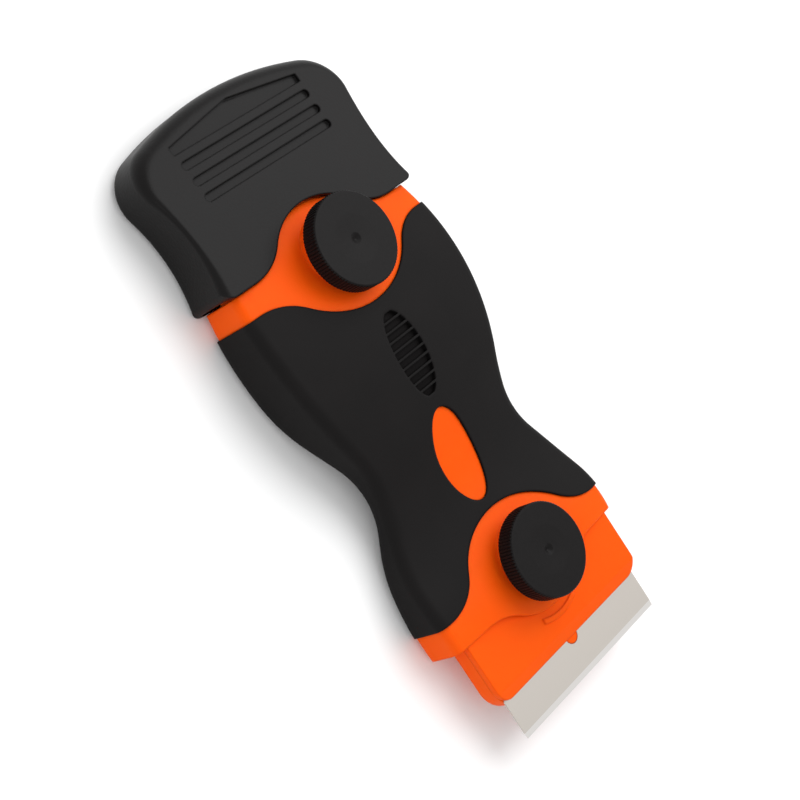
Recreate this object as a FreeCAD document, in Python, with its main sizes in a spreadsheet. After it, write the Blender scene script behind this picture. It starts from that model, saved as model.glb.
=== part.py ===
import FreeCAD, Part
import math
import os
import Sketcher

doc = FreeCAD.newDocument("hob_scraper")
sheet = doc.addObject("Spreadsheet::Sheet", "Sizes")

# Driving dimensions in millimetres: X across, +Y towards the cap, +Z up, z = 0 under the grip.
# Lengths along the handle are counted from its middle, halfway between the two knobs.
sizes = [
    ("knob_spacing", 60.5, "between the two knob axes"),
    ("handle_rear_side", 2.8, "clip's side to the handle's rear swell"),
    ("swell_place", 22.0, "swell, from the middle towards the cap"),
    ("swell_radius", 58.0, "plan radius of the swell"),
    ("waist_draw", 5.4, "how far the waist is drawn in from the swell"),
    ("waist_place", 6.5, "waist, from the middle towards the blade"),
    ("handle_front_side", 2.7, "clip's side to the handle's front flare"),
    ("flare_place", 32.0, "flare, from the middle towards the blade"),
    ("crest_rise", 4.8, "top of the clip to the grip's rear crest"),
    ("crest_place", 17.0, "crest, from the middle towards the cap"),
    ("crest_radius", 66.0, "side-view radius of the crest"),
    ("dip_drop", 2.8, "nose of the grip down to its lowest place"),
    ("dip_place", 15.0, "dip, from the middle towards the blade"),
    ("nose_rise", 2.1, "top of the clip to the nose of the grip"),
    ("nose_place", 32.0, "nose, from the middle towards the blade"),
    ("crown_radius", 180.0, "crown of the top across the handle"),
    ("fold_radius", 2.0, "round along the top edges"),
    ("heel_radius", 2.4, "round along the bottom edges"),
    ("arch_rise", 3.2, "rise of the arch under the waist"),
    ("arch_half", 19.0, "half length of the arch"),
    ("grip_wall", 1.8, "thickness of the soft moulding"),
    ("grip_step", 0.4, "how far the grip stands proud of the core"),
    ("scallop_reach", 10.2, "knob axis to the end of the grip"),
    ("scallop_radius", 17.0, "round of the grip's end in front of a knob"),
    ("scallop_blend", 11.0, "round from the scallop to the grip's straight end"),
    ("grip_rear_step", 1.65, "knob axis back to the straight end of the grip, rear"),
    ("grip_front_step", 0.65, "knob axis back to the straight end of the grip, front"),
    ("boss_reach", 9.5, "knob axis to the end of the core"),
    ("boss_radius", 13.3, "round of the core's end"),
    ("boss_blend", 11.6, "round from the boss to the core's straight end"),
    ("core_rear_step", 2.75, "knob axis to the straight end of the core, rear"),
    ("core_front_step", 4.25, "knob axis to the straight end of the core, front"),
    ("seat_radius", 6.6, "raised seat under each knob"),
    ("rear_seat_drop", 0.5, "rear crest down to the seat of the rear knob"),
    ("oval_margin", 1.95, "oval to the end of the grip"),
    ("oval_length", 17.4, "length of the oval"),
    ("oval_width", 8.8, "width of the oval"),
    ("rib_margin", 2.55, "rib pattern to the end of the grip"),
    ("rib_field_length", 15.8, "length of the rib pattern"),
    ("rib_field_width", 6.8, "width of the rib pattern"),
    ("rib_count", 10, "slots in the rib pattern"),
    ("rib_width", 0.4, "rib between two slots"),
    ("rib_depth", 0.8, "depth of the slots"),
    ("stud_radius", 2.5, "screw shank"),
    ("stud_tip_show", 0.2, "screw past its nut"),
    ("stud_head_radius", 3.7, "head moulded into the knob"),
    ("stud_head_height", 1.3, "height of that head"),
    ("stud_head_lift", 0.9, "underside of the knob to the head"),
    ("stud_chamfer", 0.5, "lead-in at the screw's tip"),
    ("thread_clearance", 0.05, "screw in its nut"),
    ("stud_clearance", 0.25, "screw in the core and the washer"),
    ("nut_flats", 8.0, "across the flats of the nut"),
    ("nut_height", 2.5, "thickness of the nut"),
    ("nut_floor", 0.7, "core left between the nut and the clip's socket"),
    ("nut_clearance", 0.1, "nut in its pocket, each side"),
    ("washer_radius", 6.0, "outside of the washer"),
    ("washer_height", 0.8, "thickness of the washer"),
    ("seat_clearance", 0.02, "between the washer and what it sits between"),
    ("knob_radius", 8.2, "outside of the knob"),
    ("knob_height", 3.5, "height of the knob"),
    ("knob_edge", 0.25, "broken edge of the knob"),
    ("knob_dish_radius", 4.2, "shallow dish on the knob"),
    ("knob_dish_depth", 0.15, "depth of that dish"),
    ("knob_dimple_radius", 1.0, "moulding mark in the middle of the knob"),
    ("knob_dimple_depth", 0.7, "depth of that mark"),
    ("knurl_count", 90, "grooves round the knob"),
    ("knurl_width", 0.35, "width of a knurl groove"),
    ("knurl_depth", 0.22, "depth of a knurl groove"),
    ("jaw_rim", 1.1, "clip's side past the blade"),
    ("blade_show", 7.0, "blade past the upper jaw"),
    ("jaw_lip", 1.6, "lower jaw past the upper one"),
    ("upper_corner", 3.0, "round of the upper jaw's front corners"),
    ("lower_corner", 5.0, "round of the lower jaw's front corners"),
    ("jaw_split_height", 7.7, "plane of the blade's upper face"),
    ("upper_jaw_height", 1.2, "thickness of the upper jaw"),
    ("lower_jaw_height", 3.0, "thickness of the lower jaw"),
    ("jaw_bevel_length", 2.2, "sloped edge of the upper jaw"),
    ("jaw_bevel_drop", 0.85, "how far that edge slopes down"),
    ("shoulder_step", 0.95, "knob axis to the clip's shoulder"),
    ("tail_half", 11.5, "half width of the clip's tail"),
    ("tail_length", 4.5, "knob axis to the end of the clip's tail"),
    ("jaw_clearance", 0.2, "clip in its socket"),
    ("slot_clearance", 0.4, "screw in the clip's open slot"),
    ("stop_rib_gap", 1.9, "end of the core to the arc rib on the upper jaw"),
    ("stop_rib_width", 0.9, "width of the arc rib"),
    ("stop_rib_height", 0.35, "height of the arc rib"),
    ("stop_rib_half", 4.4, "half length of the arc rib"),
    ("blade_half", 19.5, "half width of the blade"),
    ("blade_wall", 1.45, "clip between the screw's slot and the blade"),
    ("blade_depth", 18.8, "edge to back of the blade"),
    ("blade_thickness", 0.3, "thickness of the blade"),
    ("blade_clearance", 0.05, "blade in its pocket"),
    ("ground_width", 1.0, "ground facet along the edge"),
    ("edge_thickness", 0.06, "left at the edge of the facet"),
    ("peg_setback", 0.1, "upper jaw's edge back to the blade peg"),
    ("peg_radius", 1.45, "blade peg"),
    ("peg_clearance", 0.1, "peg in the blade"),
    ("cap_spare", 9.9, "cutting edge to the end of the cap"),
    ("cap_end_radius", 65.0, "plan radius of the cap's end"),
    ("cap_corner", 7.0, "round of the cap's corners"),
    ("cap_side_room", 0.6, "clip's side to the inside of the cap's waist"),
    ("cap_waist_step", 10.0, "cap's mouth to its waist"),
    ("cap_waist_radius", 30.0, "plan radius of the cap's waist"),
    ("cap_headroom", 2.5, "top of the clip to the top of the cap's mouth"),
    ("cap_end_headroom", 1.1, "blade to the top of the cap's end"),
    ("cap_mouth_fold", 1.2, "round along the cap's top edge, at the mouth"),
    ("cap_corner_fold", 1.8, "the same where the corner begins"),
    ("cap_end_fold", 3.2, "the same across the end"),
    ("cap_inside_fold_share", 0.6, "inside round as a share of the outside one"),
    ("cap_heel", 1.3, "round along the cap's bottom edges"),
    ("cap_mouth_corner", 2.0, "round of the cap's corners at its mouth"),
    ("cap_bottom", 0.3, "underside of the cap above the table"),
    ("cap_wall", 1.2, "wall of the cap"),
    ("cap_gap", 0.15, "between the cap's mouth and the core"),
    ("guide_place", 12.0, "guide ribs in the cap, from the middle"),
    ("guide_width", 1.2, "width of a guide rib"),
    ("guide_start", 3.0, "cap's mouth to the guide ribs"),
    ("guide_length", 6.5, "length of a guide rib"),
    ("guide_clearance", 0.1, "guide rib to the clip"),
    ("groove_setback", 14.9, "end of the cap back to the first groove"),
    ("groove_pitch", 3.05, "from groove to groove"),
    ("groove_count", 3, "straight grooves in the cap"),
    ("groove_half", 15.4, "half length of a groove"),
    ("groove_width", 1.5, "width of a groove"),
    ("groove_depth", 0.65, "depth of the grooves"),
    ("peak_gap", 1.5, "last straight groove to the peaked one"),
    ("peak_rise", 2.3, "how far the peaked groove rises in the middle"),
    ("overrun", 1.0, "how far a cutting tool runs past what it cuts"),
]

# Places and sizes that follow from the driving ones, in a second sheet
places = doc.addObject("Spreadsheet::Sheet", "Places")
derived = [
    ("knob_reach", "Sizes.knob_spacing / 2", "middle of the handle to a knob axis"),
    ("slot_radius", "Sizes.stud_radius + Sizes.slot_clearance", "clip's open slot for the screw"),
    ("blade_back", "knob_reach + slot_radius + Sizes.blade_wall", "middle to the back of a blade"),
    ("blade_reach", "blade_back + Sizes.blade_depth", "middle to a cutting edge"),
    ("jaw_reach", "blade_reach - Sizes.blade_show", "middle to the upper jaw's edge"),
    ("peg_reach", "jaw_reach - Sizes.peg_setback", "middle to the blade peg"),
    ("jaw_half", "Sizes.blade_half + Sizes.jaw_rim", "half width of the clip"),
    ("jaw_shoulder_reach", "knob_reach + Sizes.shoulder_step", "middle to the clip's shoulder"),
    ("tail_reach", "knob_reach - Sizes.tail_length", "middle to the end of the clip's tail"),
    ("jaw_top", "Sizes.jaw_split_height + Sizes.upper_jaw_height", "top of the clip"),
    ("jaw_floor", "Sizes.jaw_split_height - Sizes.lower_jaw_height", "underside of the clip"),
    ("blade_top", "Sizes.jaw_split_height - Sizes.blade_clearance", "top of the blade"),
    ("blade_floor", "blade_top - Sizes.blade_thickness", "underside of the blade"),
    ("stop_rib_radius", "Sizes.boss_reach + Sizes.stop_rib_gap", "arc rib round the knob axis"),
    ("swell_half", "jaw_half + Sizes.handle_rear_side", "half width at the rear swell"),
    ("waist_half", "swell_half - Sizes.waist_draw", "half width at the waist"),
    ("flare_half", "jaw_half + Sizes.handle_front_side", "half width at the front flare"),
    ("crest_height", "jaw_top + Sizes.crest_rise", "top of the grip at its rear crest"),
    ("nose_height", "jaw_top + Sizes.nose_rise", "top of the grip at its nose"),
    ("dip_height", "nose_height - Sizes.dip_drop", "top of the grip at its lowest place"),
    ("front_seat_height", "nose_height", "seat of the front knob"),
    ("rear_seat_height", "crest_height - Sizes.rear_seat_drop", "seat of the rear knob"),
    ("nut_roof", "jaw_floor - Sizes.jaw_clearance - Sizes.nut_floor", "what the nut is pulled against"),
    ("nut_low", "nut_roof - Sizes.nut_height", "underside of the nut"),
    ("stud_tip_height", "nut_low - Sizes.stud_tip_show", "lower end of the screws"),
    ("grip_apex", "knob_reach - Sizes.scallop_reach", "middle to the grip's end before a knob"),
    ("grip_rear_reach", "knob_reach - Sizes.grip_rear_step", "middle to the grip's straight end, rear"),
    ("grip_front_reach", "knob_reach - Sizes.grip_front_step", "the same, front"),
    ("core_apex", "knob_reach + Sizes.boss_reach", "middle to the core's end past a knob"),
    ("core_rear_reach", "knob_reach + Sizes.core_rear_step", "middle to the core's straight end, rear"),
    ("core_front_reach", "knob_reach + Sizes.core_front_step", "the same, front"),
    ("oval_place", "grip_apex - Sizes.oval_margin - Sizes.oval_length / 2", "middle of the oval"),
    ("rib_place", "grip_apex - Sizes.rib_margin - Sizes.rib_field_length / 2", "middle of the ribs"),
    ("form_reach", "core_apex + Sizes.overrun", "half length of the forms that make the handle"),
    ("form_half", "(swell_half + flare_half) / 2 + Sizes.grip_wall", "half width of those forms"),
    ("form_side", "form_half + 2 * Sizes.overrun", "half width of what trims those forms"),
    ("form_depth", "crest_height + nose_height", "height of those forms"),
    ("form_top", "crest_height + Sizes.overrun", "a height above the grip"),
    ("cap_mouth", "core_rear_reach + Sizes.cap_gap", "middle to the cap's mouth at its sides"),
    ("cap_end", "blade_reach + Sizes.cap_spare", "middle to the end of the cap"),
    ("cap_waist_half", "jaw_half + Sizes.cap_side_room + Sizes.cap_wall", "half width at the cap's waist"),
    ("cap_waist_place", "cap_mouth + Sizes.cap_waist_step", "middle to the cap's waist"),
    ("cap_mouth_step", "Sizes.cap_waist_step - 3 * Sizes.cap_mouth_corner / 4", "waist to the corner"),
    ("cap_mouth_half", "cap_waist_half + cap_mouth_step^2 / (2 * Sizes.cap_waist_radius)", "half width"),
    ("cap_mouth_height", "jaw_top + Sizes.cap_headroom", "top of the cap at its mouth"),
    ("cap_end_height", "Sizes.jaw_split_height + Sizes.cap_end_headroom", "top of the cap at its end"),
    ("cap_slope", "(cap_mouth_height - cap_end_height) / (cap_end - cap_mouth)", "fall of the cap's top"),
    ("groove_reach", "cap_end - Sizes.groove_setback", "middle to the cap's first groove"),
    ("origin_step", "(blade_reach - cap_end) / 2", "puts the origin under the middle of the whole length"),
]

# Rows of cells become named values that the expressions below read
for row, (alias, number, note) in enumerate(sizes, start=1):
    sheet.set("A%d" % row, note)
    sheet.set("B%d" % row, str(number))
    sheet.setAlias("B%d" % row, alias)
for row, (alias, formula, note) in enumerate(derived, start=1):
    places.set("A%d" % row, note)
    places.setAlias("B%d" % row, alias)
    places.set("B%d" % row, "=" + formula)
doc.recompute()


def value(expression):
    return float(sheet.evalExpression(expression))


# Sketch helpers: an edge is its geometry number with the point numbers of its start and end

def plane(body, role):
    return [feature for feature in body.Origin.OriginFeatures if feature.Role == role][0]


def new_body(label):
    body = doc.addObject("PartDesign::Body", label)
    body.Label = label
    return body


def new_sketch(body, name, role):
    sketch = body.newObject("Sketcher::SketchObject", name)
    sketch.AttachmentSupport = (plane(body, role), [""])
    sketch.MapMode = "FlatFace"
    return sketch


def vector(point):
    return FreeCAD.Vector(point[0], point[1], 0)


def line(sketch, start, end):
    geometry = sketch.addGeometry(Part.LineSegment(vector(start), vector(end)))
    return (geometry, 1, 2)


# An arc of under half a circle round its centre
def arc(sketch, centre, start, end):
    to_start = vector(start) - vector(centre)
    to_end = vector(end) - vector(centre)
    middle = vector(centre) + (to_start + to_end).normalize() * to_start.Length
    geometry = sketch.addGeometry(Part.Arc(vector(start), middle, vector(end)))
    first = sketch.getPoint(geometry, 1)
    if (first - vector(start)).Length < (first - vector(end)).Length:
        return (geometry, 1, 2)
    return (geometry, 2, 1)


def bind(sketch, constraint, expression):
    index = sketch.addConstraint(constraint)
    sketch.setExpression("Constraints[%d]" % index, expression)


def at_x(sketch, geometry, end, expression):
    place = Sketcher.Constraint("DistanceX", -1, 1, geometry, end, value(expression))
    bind(sketch, place, expression)


def at_y(sketch, geometry, end, expression):
    place = Sketcher.Constraint("DistanceY", -1, 1, geometry, end, value(expression))
    bind(sketch, place, expression)


def on_middle_line(sketch, geometry, end):
    sketch.addConstraint(Sketcher.Constraint("PointOnObject", geometry, end, -2))


def radius(sketch, edge, expression):
    bind(sketch, Sketcher.Constraint("Radius", edge[0], value(expression)), expression)


def join(sketch, edge, following):
    sketch.addConstraint(Sketcher.Constraint("Coincident", edge[0], edge[2], following[0], following[1]))


def smooth(sketch, edge, following):
    sketch.addConstraint(Sketcher.Constraint("Tangent", edge[0], edge[2], following[0], following[1]))


def backwards(edge):
    return (edge[0], edge[2], edge[1])


def upright(sketch, edge):
    sketch.addConstraint(Sketcher.Constraint("Vertical", edge[0]))


def level(sketch, edge):
    sketch.addConstraint(Sketcher.Constraint("Horizontal", edge[0]))


# A closed outline of straight edges through corners given as pairs of expressions
def polygon(sketch, corners):
    points = [(value(x), value(y)) for x, y in corners]
    edges = [line(sketch, start, end) for start, end in zip(points, points[1:] + points[:1])]
    for edge, following in zip(edges, edges[1:] + edges[:1]):
        join(sketch, edge, following)
    for edge, (x, y) in zip(edges, corners):
        at_x(sketch, edge[0], 1, x)
        at_y(sketch, edge[0], 1, y)


def circle(sketch, x, y, size):
    shape = Part.Circle(vector((value(x), value(y))), FreeCAD.Vector(0, 0, 1), value(size))
    edge = (sketch.addGeometry(shape), 3, 3)
    at_x(sketch, edge[0], 3, x)
    at_y(sketch, edge[0], 3, y)
    radius(sketch, edge, size)


# Feature helpers

def pad(body, name, sketch, length, side="One side"):
    feature = body.newObject("PartDesign::Pad", name)
    feature.Profile = sketch
    feature.SideType = side
    feature.setExpression("Length", length)
    return feature


def cut_through(body, name, sketch):
    feature = body.newObject("PartDesign::Pocket", name)
    feature.Profile = sketch
    feature.Type = "ThroughAll"
    feature.SideType = "Symmetric"
    return feature


def revolve(body, name, corners):
    sketch = new_sketch(body, name + "_profile", "XZ_Plane")
    polygon(sketch, corners)
    feature = body.newObject("PartDesign::Revolution", name)
    feature.Profile = sketch
    feature.ReferenceAxis = (sketch, ["V_Axis"])
    return feature


def mirror(body, name, features):
    feature = body.newObject("PartDesign::Mirrored", name)
    feature.Originals = features
    feature.MirrorPlane = (plane(body, "YZ_Plane"), [""])
    body.Tip = feature
    return feature


def repeat_along_y(body, name, original, count, pitch):
    feature = body.newObject("PartDesign::LinearPattern", name)
    feature.Originals = [original]
    feature.Direction = (plane(body, "Y_Axis"), [""])
    feature.setExpression("Occurrences", count)
    feature.setExpression("Length", "(%s) * (%s - 1)" % (pitch, count))
    body.Tip = feature
    return feature


def fillet(body, name, base, chosen, size):
    doc.recompute()
    numbers = [number for number, edge in enumerate(base.Shape.Edges, start=1) if chosen(edge)]
    feature = body.newObject("PartDesign::Fillet", name)
    feature.Base = (base, ["Edge%d" % number for number in numbers])
    feature.setExpression("Radius", size)
    body.Tip = feature
    return feature


def combine(kind, label, base, tool):
    feature = doc.addObject("Part::" + kind, label)
    feature.Base = base
    feature.Tool = tool
    feature.Refine = True
    feature.Label = label
    return feature


def fuse(label, shapes):
    feature = doc.addObject("Part::MultiFuse", label)
    feature.Shapes = shapes
    feature.Refine = True
    feature.Label = label
    return feature


def box(label, low, high):
    feature = doc.addObject("Part::Box", label)
    for size, start, end in zip(("Length", "Width", "Height"), low, high):
        feature.setExpression(size, "(%s) - (%s)" % (end, start))
    for axis, start in zip("xyz", low):
        feature.setExpression("Placement.Base." + axis, start)
    return feature


def cylinder(label, size, y, low, high):
    feature = doc.addObject("Part::Cylinder", label)
    feature.setExpression("Radius", size)
    feature.setExpression("Height", "(%s) - (%s)" % (high, low))
    feature.setExpression("Placement.Base.y", y)
    feature.setExpression("Placement.Base.z", low)
    return feature


def hexagon(label, flats, y, low, high):
    feature = doc.addObject("Part::Prism", label)
    feature.setExpression("Circumradius", "(%s) / sqrt(3)" % flats)
    feature.setExpression("Height", "(%s) - (%s)" % (high, low))
    feature.setExpression("Placement.Base.y", y)
    feature.setExpression("Placement.Base.z", low)
    return feature


# A finished piece is put in the part's frame
def stand(node, y="0"):
    node.setExpression("Placement.Base.y", y + " + Places.origin_step")
    return node


# An upright elliptic prism, long along Y
def oval_prism(label, length, width, y, low, high):
    outline = doc.addObject("Part::Ellipse", label + "_outline")
    outline.setExpression("MajorRadius", "(%s) / 2" % length)
    outline.setExpression("MinorRadius", "(%s) / 2" % width)
    outline.Placement = FreeCAD.Placement(FreeCAD.Vector(), FreeCAD.Rotation(90, 0, 0))
    outline.setExpression("Placement.Base.y", y)
    outline.setExpression("Placement.Base.z", low)
    prism = doc.addObject("Part::Extrusion", label)
    prism.Base = outline
    prism.DirMode = "Custom"
    prism.Dir = FreeCAD.Vector(0, 0, 1)
    prism.setExpression("LengthFwd", "(%s) - (%s)" % (high, low))
    prism.Solid = True
    return prism


# Three tangent arcs, high, low and high again, along x (side view) or along y (plan)
def wave(sketch, spots, heights, first_radius, ends, along):
    put_along, put_over = (at_x, at_y) if along == "x" else (at_y, at_x)

    def turned(point):
        return point if along == "x" else (point[1], point[0])

    spot = [value(each) for each in spots]
    high = [value(each) for each in heights]
    radii = [value(first_radius)]
    for index in (0, 1):
        run = spot[index] - spot[index + 1]
        rise = abs(high[index] - high[index + 1])
        radii.append((run ** 2 + rise ** 2) / (2 * rise) - radii[index])
    sides = (-1, 1, -1)
    centres = [(spot[index], high[index] + sides[index] * radii[index]) for index in range(3)]
    path = []
    for index, end in ((0, ends[0]), (2, ends[1])):
        offset = value(end) - spot[index]
        path.append((value(end), centres[index][1] + math.sqrt(radii[index] ** 2 - offset ** 2)))
    for index in (0, 1):
        share = radii[index] / (radii[index] + radii[index + 1])
        (x, y), (next_x, next_y) = centres[index:index + 2]
        path.insert(index + 1, (x + share * (next_x - x), y + share * (next_y - y)))
    edges = []
    for centre, start, end in zip(centres, path[:-1], path[1:]):
        edges.append(arc(sketch, turned(centre), turned(start), turned(end)))
    smooth(sketch, edges[0], edges[1])
    smooth(sketch, edges[1], edges[2])
    radius(sketch, edges[0], first_radius)
    put_along(sketch, edges[0][0], edges[0][1], ends[0])
    put_along(sketch, edges[2][0], edges[2][2], ends[1])
    for edge, place, height in zip(edges, spots, heights):
        put_along(sketch, edge[0], 3, place)
        peak = sketch.addGeometry(Part.Point(vector(turned((value(place), value(height))))), True)
        sketch.addConstraint(Sketcher.Constraint("PointOnObject", peak, 1, edge[0]))
        put_along(sketch, peak, 1, place)
        put_over(sketch, peak, 1, height)
    return edges


# The S-shaped end round a knob: a round on the middle line, a blend and a straight run to the side
def s_curve(sketch, outward, apex, round_radius, blend_radius, straight, side):
    big = value(round_radius)
    small = value(blend_radius)
    tip = (0, value(apex))
    centre = (0, tip[1] - outward * big)
    drop = abs(value(straight) - centre[1])
    blend_x = math.sqrt((big + small) ** 2 - (drop + small) ** 2)
    blend_centre = (blend_x, value(straight) + outward * small)
    share = big / (big + small)
    meet = (blend_x * share, centre[1] + share * (blend_centre[1] - centre[1]))
    foot = (blend_x, value(straight))
    bow = arc(sketch, centre, tip, meet)
    blend = arc(sketch, blend_centre, meet, foot)
    run = line(sketch, foot, (value(side), foot[1]))
    smooth(sketch, bow, blend)
    smooth(sketch, blend, run)
    on_middle_line(sketch, bow[0], 3)
    on_middle_line(sketch, bow[0], bow[1])
    at_y(sketch, bow[0], bow[1], apex)
    radius(sketch, bow, round_radius)
    radius(sketch, blend, blend_radius)
    level(sketch, run)
    at_y(sketch, run[0], 2, straight)
    at_x(sketch, run[0], 2, side)
    return bow, run


# Handle: one form, drawn in by an inset, gives the grip, the core and the depth of the ribs

def crowned_block(body, label, inset):
    spine = new_sketch(body, label + "_spine", "YZ_Plane")
    spots = ["Sizes.crest_place", "-Sizes.dip_place", "-Sizes.nose_place"]
    heights = ["Places.%s_height - %s" % (name, inset) for name in ("crest", "dip", "nose")]
    ends = ["Places.form_reach", "-Places.form_reach"]
    wave(spine, spots, heights, "Sizes.crest_radius - " + inset, ends, "x")

    section = new_sketch(body, label + "_section", "XZ_Plane")
    section.setExpression("AttachmentOffset.Base.z", "-Places.form_reach")
    crown = "(Sizes.crown_radius - %s)" % inset
    run = "(Places.form_reach - Sizes.crest_place)"
    fall = "sqrt((Sizes.crest_radius - %s)^2 - %s^2)" % (inset, run)
    top = "(Places.crest_height - Sizes.crest_radius + %s)" % fall
    half = value("Places.form_half")
    centre = (0, value(top + " - " + crown))
    shoulder = centre[1] + math.sqrt(value(crown) ** 2 - half ** 2)
    floor = value(top + " - Places.form_depth")
    corners = [(-half, shoulder), (half, shoulder), (half, floor), (-half, floor)]
    edges = [arc(section, centre, corners[0], corners[1])]
    for index in (1, 2, 3):
        edges.append(line(section, corners[index], corners[(index + 1) % 4]))
    for edge, following in zip(edges, edges[1:] + edges[:1]):
        join(section, edge, following)
    upright(section, edges[1])
    upright(section, edges[3])
    level(section, edges[2])
    on_middle_line(section, edges[0][0], 3)
    radius(section, edges[0], crown)
    at_y(section, edges[0][0], 3, top + " - " + crown)
    at_x(section, edges[2][0], 1, "Places.form_half")
    at_x(section, edges[2][0], 2, "-Places.form_half")
    at_y(section, edges[2][0], 1, top + " - Places.form_depth")

    block = body.newObject("PartDesign::AdditivePipe", label + "_block")
    block.Profile = section
    block.Spine = (spine, ["Edge1", "Edge2", "Edge3"])
    block.Mode = "Fixed"


def arched_underside(body, label, inset):
    bed = new_sketch(body, label + "_bed", "YZ_Plane")
    reach = "(Places.form_reach + Sizes.overrun)"
    rear_foot = "(Sizes.arch_half - Sizes.waist_place / 2)"
    front_foot = "(-Sizes.arch_half - Sizes.waist_place / 2)"
    bend = "(Sizes.arch_half^2 + Sizes.arch_rise^2) / (4 * Sizes.arch_rise)"
    ground = value(inset)
    deep = -value("Places.form_depth")
    far = value(reach)
    turn = value(bend)
    rear = (value(rear_foot), ground)
    front = (value(front_foot), ground)
    middle = (rear[0] + front[0]) / 2
    half_way = ground + value("Sizes.arch_rise / 2")
    rear_meet = ((rear[0] + middle) / 2, half_way)
    front_meet = ((front[0] + middle) / 2, half_way)
    edges = [
        line(bed, (far, ground), rear),
        arc(bed, (rear[0], ground + turn), rear, rear_meet),
        arc(bed, (middle, ground + value("Sizes.arch_rise") - turn), rear_meet, front_meet),
        arc(bed, (front[0], ground + turn), front_meet, front),
        line(bed, front, (-far, ground)),
        line(bed, (-far, ground), (-far, deep)),
        line(bed, (-far, deep), (far, deep)),
        line(bed, (far, deep), (far, ground)),
    ]
    for edge, following in zip(edges[:4], edges[1:5]):
        smooth(bed, edge, following)
    for edge, following in zip(edges[4:], edges[5:] + edges[:1]):
        join(bed, edge, following)
    for edge in (edges[0], edges[4], edges[6]):
        level(bed, edge)
    for edge in (edges[5], edges[7]):
        upright(bed, edge)
    radius(bed, edges[1], bend)
    radius(bed, edges[3], bend)
    at_x(bed, edges[0][0], 2, rear_foot)
    at_y(bed, edges[0][0], 2, inset)
    at_x(bed, edges[4][0], 1, front_foot)
    at_y(bed, edges[4][0], 1, inset)
    at_x(bed, edges[6][0], 1, "-" + reach)
    at_x(bed, edges[6][0], 2, reach)
    at_y(bed, edges[6][0], 1, "-Places.form_depth")
    cut_through(body, label + "_underside", bed)


def waisted_sides(body, label, inset):
    trim = new_sketch(body, label + "_trim", "XY_Plane")
    spots = ["Sizes.swell_place", "-Sizes.waist_place", "-Sizes.flare_place"]
    heights = ["Places.%s_half - %s" % (name, inset) for name in ("swell", "waist", "flare")]
    reach = "(Places.form_reach + Sizes.overrun)"
    outer = "(Places.form_half + Sizes.overrun)"
    edges = wave(trim, spots, heights, "Sizes.swell_radius - " + inset, [reach, "-" + reach], "y")
    rear = trim.getPoint(edges[0][0], edges[0][1])
    front = trim.getPoint(edges[2][0], edges[2][2])
    edges.append(line(trim, (front.x, front.y), (value(outer), front.y)))
    edges.append(line(trim, (value(outer), front.y), (value(outer), rear.y)))
    edges.append(line(trim, (value(outer), rear.y), (rear.x, rear.y)))
    for edge, following in zip(edges[2:], edges[3:] + edges[:1]):
        join(trim, edge, following)
    level(trim, edges[3])
    upright(trim, edges[4])
    level(trim, edges[5])
    at_x(trim, edges[4][0], 1, outer)
    side = cut_through(body, label + "_side", trim)
    return mirror(body, label + "_sides", [side])


def handle_form(label, inset, rounded):
    body = new_body(label)
    crowned_block(body, label, inset)
    arched_underside(body, label, inset)
    tip = waisted_sides(body, label, inset)
    if not rounded:
        return body
    half_way = value("Sizes.arch_rise + Sizes.heel_radius")

    def lengthwise(edge):
        bounds = edge.BoundBox
        return bounds.YLength > bounds.ZLength and abs(bounds.XMin + bounds.XMax) > bounds.XLength

    def fold(edge):
        return lengthwise(edge) and edge.BoundBox.ZMin > half_way

    def heel(edge):
        return lengthwise(edge) and edge.BoundBox.ZMax < half_way

    tip = fillet(body, label + "_fold", tip, fold, "Sizes.fold_radius - " + inset)
    fillet(body, label + "_heel", tip, heel, "Sizes.heel_radius - " + inset)
    return body


def plan_prism(label, rear_end, front_end):
    body = new_body(label)
    sketch = new_sketch(body, label + "_outline", "XY_Plane")
    rear_bow, rear_run = s_curve(sketch, *rear_end)
    front_bow, front_run = s_curve(sketch, *front_end)
    rear_side = sketch.getPoint(rear_run[0], 2)
    front_side = sketch.getPoint(front_run[0], 2)
    rear_tip = sketch.getPoint(rear_bow[0], rear_bow[1])
    front_tip = sketch.getPoint(front_bow[0], front_bow[1])
    side = line(sketch, (rear_side.x, rear_side.y), (front_side.x, front_side.y))
    middle = line(sketch, (front_tip.x, front_tip.y), (rear_tip.x, rear_tip.y))
    join(sketch, rear_run, side)
    join(sketch, side, backwards(front_run))
    join(sketch, backwards(front_bow), middle)
    join(sketch, middle, rear_bow)
    half = pad(body, label + "_half", sketch, "2 * Places.form_depth", "Symmetric")
    mirror(body, label + "_whole", [half])
    return body


grip_rounds = ("Sizes.scallop_radius", "Sizes.scallop_blend")
grip_zone = plan_prism(
    "grip_zone",
    (-1, "Places.grip_apex", *grip_rounds, "Places.grip_rear_reach", "Places.form_side"),
    (1, "-Places.grip_apex", *grip_rounds, "-Places.grip_front_reach", "Places.form_side"),
)
core_rounds = ("Sizes.boss_radius", "Sizes.boss_blend")
core_zone = plan_prism(
    "core_zone",
    (1, "Places.core_apex", *core_rounds, "Places.core_rear_reach", "Places.form_side"),
    (-1, "-Places.core_apex", *core_rounds, "-Places.core_front_reach", "Places.form_side"),
)
grip_form = handle_form("grip_form", "0", True)
core_form = handle_form("core_form", "Sizes.grip_step", True)
rib_floor_form = handle_form("rib_floor_form", "Sizes.rib_depth", False)
inner_form = handle_form("inner_form", "Sizes.grip_wall", False)


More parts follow.
